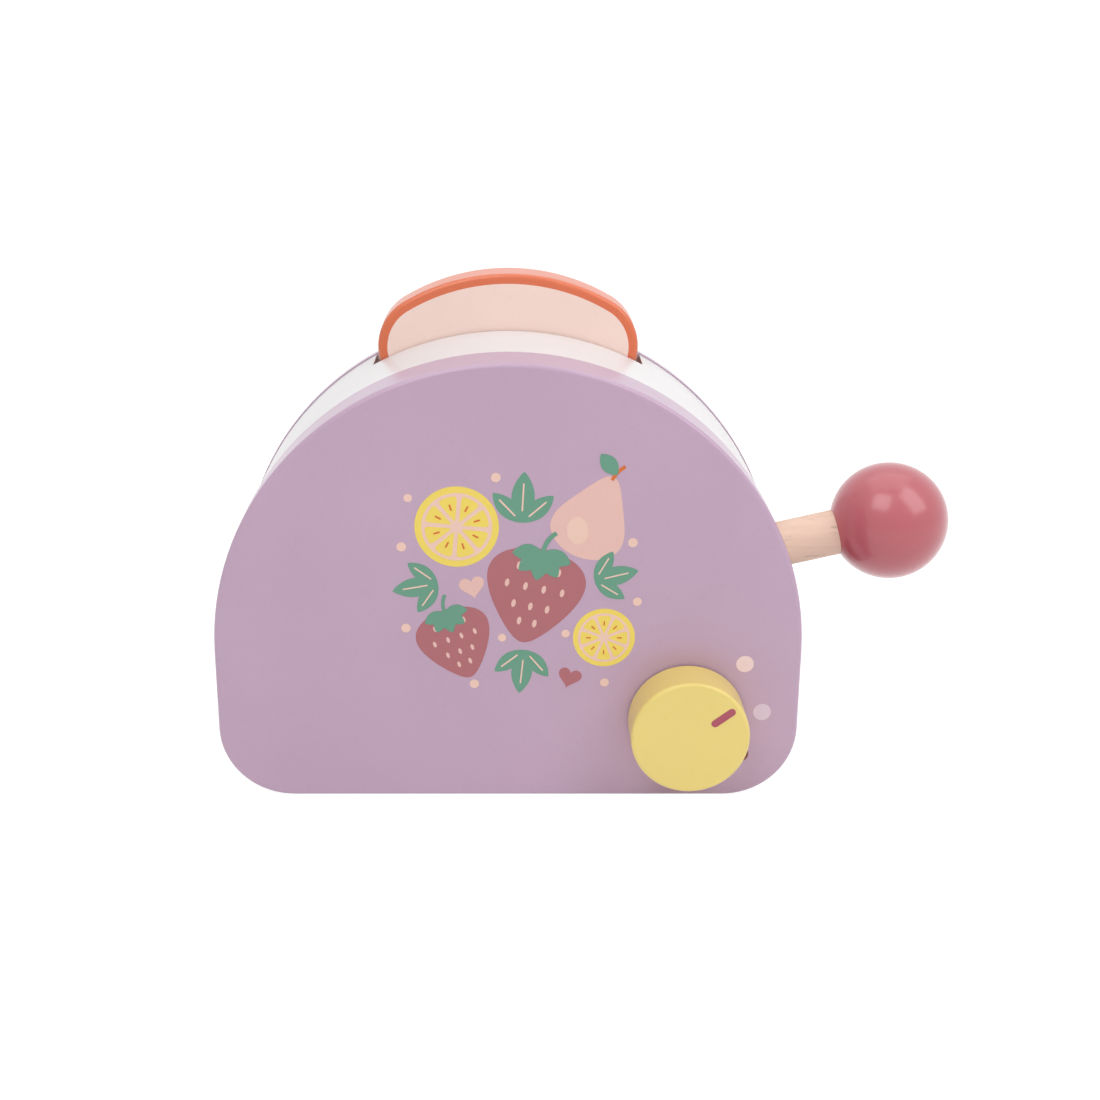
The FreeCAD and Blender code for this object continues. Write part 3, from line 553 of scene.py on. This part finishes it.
def leaf_outline(length, half_width, count=20):
    """A pointed leaf from the origin along Z."""
    right = [(half_width * math.sin(math.pi * step / count) ** 0.8, length * step / count)
             for step in range(count + 1)]
    left = [(-x, z) for x, z in right[1:-1]]
    return right + left[::-1]


def heart_outline(count=48):
    """A heart about one unit wide, from the usual curve for one."""
    points = []
    for step in range(count):
        angle = 2 * math.pi * step / count
        x = 16 * math.sin(angle) ** 3
        z = (13 * math.cos(angle) - 5 * math.cos(2 * angle)
             - 2 * math.cos(3 * angle) - math.cos(4 * angle))
        points.append((x / 32.0, z / 32.0))
    return points


# Rows of seeds on a strawberry: height up the fruit and how many
SEED_ROWS = ((0.26, 3), (0.06, 4), (-0.14, 3), (-0.31, 2))
CALYX_TURNS = (-78, -40, 0, 40, 78)
LEMON_WEDGES = 8
# Leaves of a spray: turn from the middle in degrees, and share of the full length
SPRAY_LEAVES = ((-46, 0.80), (0, 1.0), (46, 0.80))


class Print:
    """Outlines gathered by ink, then laid down as one piece for each ink and level."""

    def __init__(self):
        self.layers = {}

    def put(self, ink, level, outline):
        """Add one outline, given in millimetres."""
        self.layers.setdefault((ink, level), []).append(
            [(mm(x), mm(z)) for x, z in outline])

    def strawberry(self, x, z, height, lean):
        """A rose fruit with pale seeds under a green calyx and stem."""
        body = strawberry_outline()
        self.put("rose", 1, moved(body, x, z, lean, height))
        for row, (level_z, count) in enumerate(SEED_ROWS):
            for step in range(count):
                across = (step - (count - 1) / 2) * (0.20 - 0.015 * row)
                seed = ellipse(across, level_z, 0.022, 0.042, 0.0, 14)
                self.put("pink", 2, moved(seed, x, z, lean, height))
        for turn in CALYX_TURNS:
            leaf = leaf_outline(0.30, 0.085)
            turned = moved(leaf, 0.0, 0.44, math.radians(turn + 180))
            self.put("green", 3, moved(turned, x, z, lean, height))
        stem = stroke(curve_points((0.0, 0.42), (0.0, 0.58), (0.09, 0.66)), 0.022)
        self.put("green", 3, moved(stem, x, z, lean, height))

    def lemon(self, x, z, radius, lean):
        """A round slice: rind, pale pith, wedges and a pip in each."""
        self.put("yellow", 1, ellipse(x, z, radius, radius, 0.0, 72))
        self.put("peach", 2, ellipse(x, z, radius * 0.84, radius * 0.84, 0.0, 64))
        half = math.pi / LEMON_WEDGES * 0.80
        for step in range(LEMON_WEDGES):
            middle = lean + 2 * math.pi * step / LEMON_WEDGES
            rim = [polar(0.76, middle + half * share)
                   for share in (-0.86, -0.6, -0.3, 0.0, 0.3, 0.6, 0.86)]
            side = [polar(0.68, middle + half), polar(0.20, middle + half * 0.5),
                    polar(0.14, middle), polar(0.20, middle - half * 0.5),
                    polar(0.68, middle - half)]
            self.put("yellow", 3, moved(rim + side, x, z, 0.0, radius))
            pip = capsule(*polar(0.44, middle), *polar(0.56, middle), 0.022, 6)
            self.put("orange", 4, moved(pip, x, z, 0.0, radius))

    def pear(self, x, z, height, lean):
        """A pink fruit with a pale patch, a stem and one leaf."""
        self.put("pink", 1, moved(pear_outline(), x, z, lean, height))
        self.put("peach", 2, moved(ellipse(-0.10, -0.22, 0.12, 0.16, 0.5), x, z, lean, height))
        stem = stroke(curve_points((0.0, 0.46), (0.01, 0.58), (0.07, 0.66)), 0.02)
        self.put("orange", 2, moved(stem, x, z, lean, height))
        leaf = moved(leaf_outline(0.30, 0.09), 0.03, 0.54, math.radians(62))
        self.put("green", 3, moved(leaf, x, z, lean, height))

    def spray(self, x, z, length, lean):
        """Three broad leaves that open from one foot."""
        for turn, share in SPRAY_LEAVES:
            leaf = moved(leaf_outline(share, share * 0.22), 0.0, 0.0, math.radians(turn))
            self.put("green", 1, moved(leaf, x, z, lean, length))
            rib = capsule(0.0, share * 0.24, 0.0, share * 0.76, 0.016, 6)
            turned = moved(rib, 0.0, 0.0, math.radians(turn))
            self.put("peach", 2, moved(turned, x, z, lean, length))

    def heart(self, x, z, size, lean, ink):
        self.put(ink, 1, moved(heart_outline(), x, z, lean, size))

    def dot(self, x, z, radius, ink="peach"):
        self.put(ink, 1, ellipse(x, z, radius, radius, 0.0, 28))

    def lay(self, inks):
        """Make the pieces, one for each ink and level."""
        for (ink, level), outlines in sorted(self.layers.items()):
            print_layer(f"print_{ink}_{level}", outlines, inks[ink], level)


# Dots in millimetres: x, z, radius, and the ink where it isn't the usual one
SCATTERED_DOTS = ((-35.5, 92.0, 1.6), (-33.0, 109.0, 1.4), (-4.0, 116.0, 1.6),
                  (41.5, 93.5, 1.6), (-34.5, 63.0, 1.6), (-2.0, 59.5, 1.4),
                  (19.5, 61.0, 1.4), (43.5, 72.5, 1.5), (33.0, 43.0, 1.5),
                  (-11.5, 42.5, 1.6))
LEVEL_DOTS = ((80.76, 49.8, 3.0, "cream"), (87.45, 31.9, 3.05, "pale"),
              (80.5, 16.1, 3.0, "brown"))
PRINT_INKS = {"rose": PRINT_ROSE, "pink": PRINT_PINK, "yellow": PRINT_YELLOW,
              "green": PRINT_GREEN, "orange": PRINT_ORANGE, "peach": PRINT_PEACH,
              "cream": DOT_CREAM, "pale": DOT_LILAC, "brown": DOT_BROWN}


def make_print():
    """A loose bunch of fruit and leaves on the front, and the level dots by the knob."""
    art = Print()
    art.lemon(-17.0, 99.0, 14.0, 0.3)
    art.strawberry(8.5, 75.5, 34.0, math.radians(-12))
    art.pear(28.5, 102.5, 30.0, math.radians(-24))
    art.lemon(32.5, 59.5, 10.5, 0.0)
    art.strawberry(-17.5, 58.0, 26.0, math.radians(20))
    art.spray(4.5, 100.5, 17.5, math.radians(-3))
    art.spray(-23.5, 79.0, 15.5, math.radians(100))
    art.spray(29.0, 80.0, 15.0, math.radians(-76))
    art.spray(5.5, 55.0, 16.0, math.radians(174))
    art.heart(-12.0, 78.0, 8.5, math.radians(12), "pink")
    art.heart(21.0, 45.0, 8.0, math.radians(-16), "rose")
    for x, z, radius in SCATTERED_DOTS:
        art.dot(x, z, radius)
    for x, z, radius, ink in LEVEL_DOTS:
        art.dot(x, z, radius, ink)
    inks = {name: paint(f"ink_{name}", colour, roughness=0.45, coat=0.1, grain=FLAT_GRAIN,
                        mottle=0.03) for name, colour in PRINT_INKS.items()}
    art.lay(inks)


make_print()


POINTER_START = (mm(69.3), mm(35.1))
POINTER_END = (mm(74.7), mm(39.2))
POINTER_RADIUS = mm(1.3)
POINTER_LEVEL = 2


def make_pointer():
    """The knob's printed pointer, a short stroke with round ends."""
    ink = paint("ink_pointer", POINTER_ROSE, roughness=0.45, coat=0.05, grain=FLAT_GRAIN)
    outline = capsule(*POINTER_START, *POINTER_END, POINTER_RADIUS)
    print_layer("knob_pointer", [outline], ink, POINTER_LEVEL, "dial",
                KNOB_FACE_Y)


make_pointer()


# Toast: pale faces inside the orange crust

CRUST_WIDTH = mm(3.4)
LOBE_RADIUS = mm(18.5)
CROWN_RISE = mm(26)
LOBE_OVERHANG = mm(2.5)
FOOT_RADIUS = mm(8)
FACE_LIFT = mm(0.06)


def arc(centre_x, centre_z, radius, start, end, count):
    """Points along an arc, both ends included."""
    return [(centre_x + radius * math.cos(start + (end - start) * step / count),
             centre_z + radius * math.sin(start + (end - start) * step / count))
            for step in range(count + 1)]


def toast_outline(inset):
    """The slice's outline moved inwards, from the right waist round over the crown."""
    half_width = (toast_high.x - toast_low.x) / 2
    lobe_x = half_width - LOBE_RADIUS
    lobe_z = toast_high.z - CROWN_RISE
    crown = ((lobe_x ** 2 + CROWN_RISE ** 2 - LOBE_RADIUS ** 2)
             / (2 * (CROWN_RISE - LOBE_RADIUS)))
    crown_z = toast_high.z - crown
    join = math.atan2(lobe_z - crown_z, lobe_x)
    waist = half_width - LOBE_OVERHANG - inset
    lobe = LOBE_RADIUS - inset
    neck = math.acos((waist - lobe_x) / lobe)
    foot = FOOT_RADIUS - inset
    foot_x = waist - foot
    foot_z = toast_low.z + FOOT_RADIUS
    right = arc(lobe_x, lobe_z, lobe, -neck, join, 36)
    top = arc(0.0, crown_z, crown - inset, join, math.pi - join, 60)
    left = [(-x, z) for x, z in reversed(right)]
    low_left = arc(-foot_x, foot_z, foot, math.pi, 1.5 * math.pi, 12)
    low_right = arc(foot_x, foot_z, foot, 1.5 * math.pi, 2 * math.pi, 12)
    return right + top[1:-1] + left + low_left + low_right


def make_toast_faces():
    """A pale layer on each side of the slice, inside its crust."""
    outline = toast_outline(CRUST_WIDTH)
    count = len(outline)
    for name, face_y, direction in (("toast_face_front", toast_low.y, -1),
                                    ("toast_face_back", toast_high.y, 1)):
        vertices = [(x, face_y + direction * FACE_LIFT, z) for x, z in outline]
        vertices += [(x, face_y - direction * INK_SINK, z) for x, z in outline]
        front = tuple(range(count))
        back = tuple(range(2 * count - 1, count - 1, -1))
        sides = [(step, count + step, count + (step + 1) % count, (step + 1) % count)
                 for step in range(count)]
        faces = [front, back] + sides
        if direction > 0:
            faces = [face[::-1] for face in faces]
        add_mesh(name, vertices, faces, crumb, "toast")


make_toast_faces()


# Return springs: coils in place of the plain tubes

SPRING_TURNS = 11
STEPS_PER_TURN = 28
WIRE_SIDES = 10
WIRE_RADIUS = mm(0.6)


def make_spring(node, name):
    """A coil that takes a tube's place."""
    low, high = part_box(node)
    centre_x = (low.x + high.x) / 2
    centre_y = (low.y + high.y) / 2
    coil_radius = (high.x - low.x) / 2 - WIRE_RADIUS
    bottom = low.z + WIRE_RADIUS
    rise = high.z - low.z - 2 * WIRE_RADIUS
    steps = SPRING_TURNS * STEPS_PER_TURN
    vertices, faces = [], []
    for step in range(steps + 1):
        share = step / steps
        angle = 2 * math.pi * SPRING_TURNS * share
        centre = Vector((centre_x + coil_radius * math.cos(angle),
                         centre_y + coil_radius * math.sin(angle), bottom + rise * share))
        outward = Vector((math.cos(angle), math.sin(angle), 0.0))
        for side in range(WIRE_SIDES):
            turn = 2 * math.pi * side / WIRE_SIDES
            vertices.append(centre + outward * (WIRE_RADIUS * math.cos(turn))
                            + Vector((0, 0, WIRE_RADIUS * math.sin(turn))))
    for step in range(steps):
        for side in range(WIRE_SIDES):
            near = step * WIRE_SIDES + side
            beside = step * WIRE_SIDES + (side + 1) % WIRE_SIDES
            faces.append((near, beside, beside + WIRE_SIDES, near + WIRE_SIDES))
    faces.append(tuple(range(WIRE_SIDES - 1, -1, -1)))
    faces.append(tuple(range(steps * WIRE_SIDES, (steps + 1) * WIRE_SIDES)))
    piece = add_mesh(name, vertices, faces, wire, "housing")
    for polygon in piece.data.polygons:
        polygon.use_smooth = True
    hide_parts(node)
    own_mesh(piece)


make_spring("return_spring_left", "spring_coil_left")
make_spring("return_spring_right", "spring_coil_right")


# Studio

# Sizes in metres and powers in watts. The glow shows the floor white to the camera and
# in reflections, and lights nothing.
FLOOR_SIZE = 6.0
FLOOR_GREY = 0.92
FLOOR_GLOW = 1.3
GLOW_SHARE = 0.72
WORLD_LIGHT = 0.50
WORLD_SEEN = 1.06
LAMP_AIM_HEIGHT = mm(80)
# Name, azimuth, elevation, distance, width, height, power
SOFTBOXES = (("softbox_left", -30, 54, 1.3, 0.75, 0.75, 4.7),
             ("softbox_right", 60, 44, 1.3, 0.7, 1.0, 5.2),
             ("softbox_top", 170, 76, 1.5, 1.6, 1.2, 4.6))


def make_floor():
    """A pale floor that keeps the body's soft shadow."""
    mesh = bpy.data.meshes.new("floor")
    half = FLOOR_SIZE / 2
    mesh.from_pydata([(-half, -half, 0), (half, -half, 0), (half, half, 0), (-half, half, 0)],
                     [], [(0, 1, 2, 3)])
    made = Material("floor")
    tree = made.tree
    diffuse = made.add("ShaderNodeBsdfDiffuse")
    diffuse.inputs["Color"].default_value = grey(FLOOR_GREY)
    glow = made.add("ShaderNodeEmission")
    glow.inputs["Color"].default_value = WHITE
    glow.inputs["Strength"].default_value = FLOOR_GLOW
    path = made.add("ShaderNodeLightPath")
    seen = made.math("MAXIMUM", path.outputs["Is Camera Ray"], path.outputs["Is Glossy Ray"])
    seen = made.math("MAXIMUM", seen, path.outputs["Is Transmission Ray"])
    share = made.math("MULTIPLY", seen, GLOW_SHARE)
    blend = made.add("ShaderNodeMixShader")
    made.link(share, blend.inputs[0])
    made.link(diffuse.outputs[0], blend.inputs[1])
    made.link(glow.outputs[0], blend.inputs[2])
    made.link(blend.outputs[0], tree.nodes["Material Output"].inputs["Surface"])
    mesh.materials.append(made.material)
    floor = bpy.data.objects.new("floor", mesh)
    bpy.context.scene.collection.objects.link(floor)


def make_world():
    """Even light from all round, shown as white to the camera and in reflections."""
    world = bpy.data.worlds.new("studio")
    bpy.context.scene.world = world
    world.use_nodes = True
    tree = world.node_tree
    background = tree.nodes["Background"]
    path = tree.nodes.new("ShaderNodeLightPath")
    mix = tree.nodes.new("ShaderNodeMix")
    mix.data_type = "FLOAT"
    mix.inputs[MIX_FIRST_NUMBER].default_value = WORLD_LIGHT
    mix.inputs[MIX_SECOND_NUMBER].default_value = WORLD_SEEN
    seen = tree.nodes.new("ShaderNodeMath")
    seen.operation = "MAXIMUM"
    tree.links.new(path.outputs["Is Camera Ray"], seen.inputs[0])
    tree.links.new(path.outputs["Is Glossy Ray"], seen.inputs[1])
    tree.links.new(seen.outputs[0], mix.inputs[MIX_FACTOR])
    tree.links.new(mix.outputs[0], background.inputs["Strength"])
    background.inputs["Color"].default_value = WHITE


def make_softbox(name, azimuth, elevation, distance, width, height, power):
    """An area lamp aimed at the body, placed by angles as the views are."""
    data = bpy.data.lights.new(name, "AREA")
    data.shape = "RECTANGLE"
    data.size = width
    data.size_y = height
    data.energy = power
    lamp = bpy.data.objects.new(name, data)
    bpy.context.scene.collection.objects.link(lamp)
    turn, lift = math.radians(azimuth), math.radians(elevation)
    back = Vector((math.sin(turn) * math.cos(lift), -math.cos(turn) * math.cos(lift),
                   math.sin(lift)))
    lamp.location = Vector((0, 0, LAMP_AIM_HEIGHT)) + back * distance
    lamp.rotation_euler = (-back).to_track_quat("-Z", "Y").to_euler()


make_floor()
make_world()
for softbox in SOFTBOXES:
    make_softbox(*softbox)

bpy.context.scene.view_settings.view_transform = "Standard"
